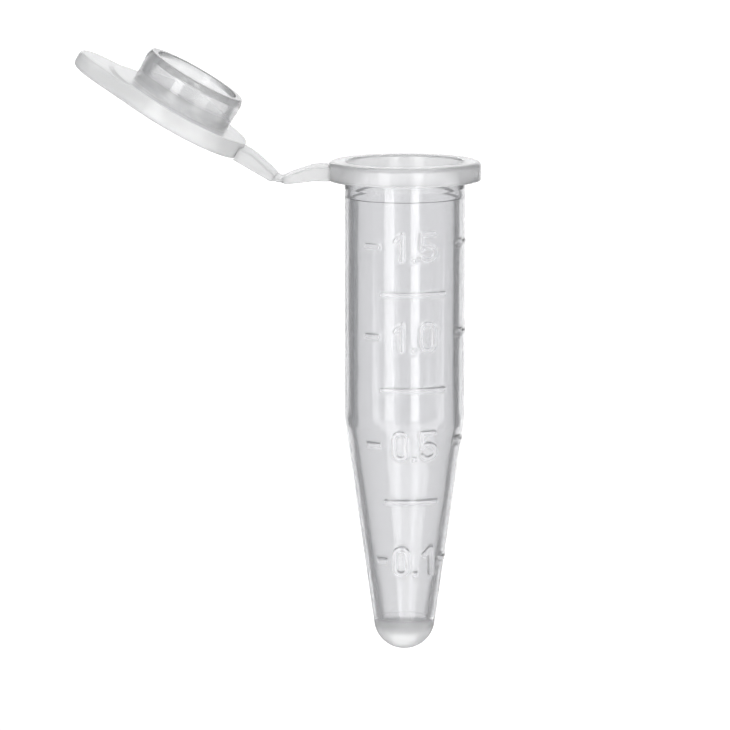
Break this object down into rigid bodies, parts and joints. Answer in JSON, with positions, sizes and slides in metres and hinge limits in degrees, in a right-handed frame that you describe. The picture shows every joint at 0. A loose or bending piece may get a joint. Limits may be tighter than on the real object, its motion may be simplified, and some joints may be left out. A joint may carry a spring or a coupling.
{
  "type": "microcentrifuge tube",
  "caption": "Clear snap-cap microcentrifuge tube with a conical end, raised volume marks, and a plug cap that folds over on a living hinge strap.",
  "frame": {"origin": "centre of the underside of the rim, on the tube's axis", "axes": "+Z along the tube's axis, up through the mouth; -X towards the strap and the open cap; -Y towards the graduations"},
  "size_m": [0.0359, 0.0134, 0.0532],
  "materials": {
    "clear_wall": "clear natural polypropylene, polished, slightly hazy",
    "raised_marks": "clear natural polypropylene, raised and polished",
    "milky_rim": "natural polypropylene, thicker and milkier",
    "strap_band": "natural polypropylene, milky, satin gloss",
    "cap_plate": "natural polypropylene, milky, satin gloss",
    "clear_plug": "clear natural polypropylene, polished"
  },
  "bodies": {
    "tube": {"rim_collar": "milky_rim", "sealing_seat": "clear_wall", "barrel": "clear_wall", "cone": "clear_wall", "round_tip": "clear_wall", "volume_lines": "raised_marks", "volume_numbers": "raised_marks", "strap_root": "strap_band"},
    "tube_strap": {"tube_side_bend": "strap_band", "tube_side_link": "strap_band"},
    "cap_strap": {"film_hinge": "strap_band", "cap_side_link": "strap_band"},
    "cap": {"cap_side_bend": "strap_band", "cap_strap_root": "strap_band", "cap_disc": "cap_plate", "thumb_tab": "cap_plate", "plug_ring": "clear_plug"}
  },
  "joints": [
    {"name": "strap_root_flex", "type": "hinge", "parent": "tube", "child": "tube_strap", "pos_m": [-0.00795, 0, 0.00035], "axis": [0, 1, 0], "range_deg": [-7.2, 35.8], "deforming": ["tube_side_bend"]},
    {"name": "film_hinge_fold", "type": "hinge", "parent": "tube_strap", "child": "cap_strap", "pos_m": [-0.01103, 0, 0.00002], "axis": [0, 1, 0], "range_deg": [-18.8, 94.09], "stiffness_Nm_per_rad": 0.0015, "deforming": ["film_hinge"]},
    {"name": "cap_root_flex", "type": "hinge", "parent": "cap_strap", "child": "cap", "pos_m": [-0.01374, 0, 0.00153], "axis": [0, 1, 0], "range_deg": [-4.1, 20.2], "deforming": ["cap_side_bend"]}
  ],
  "couplings": [
    {"joint": "strap_root_flex", "follows": "film_hinge_fold", "ratio": 0.38015},
    {"joint": "cap_root_flex", "follows": "film_hinge_fold", "ratio": 0.21402}
  ]
}
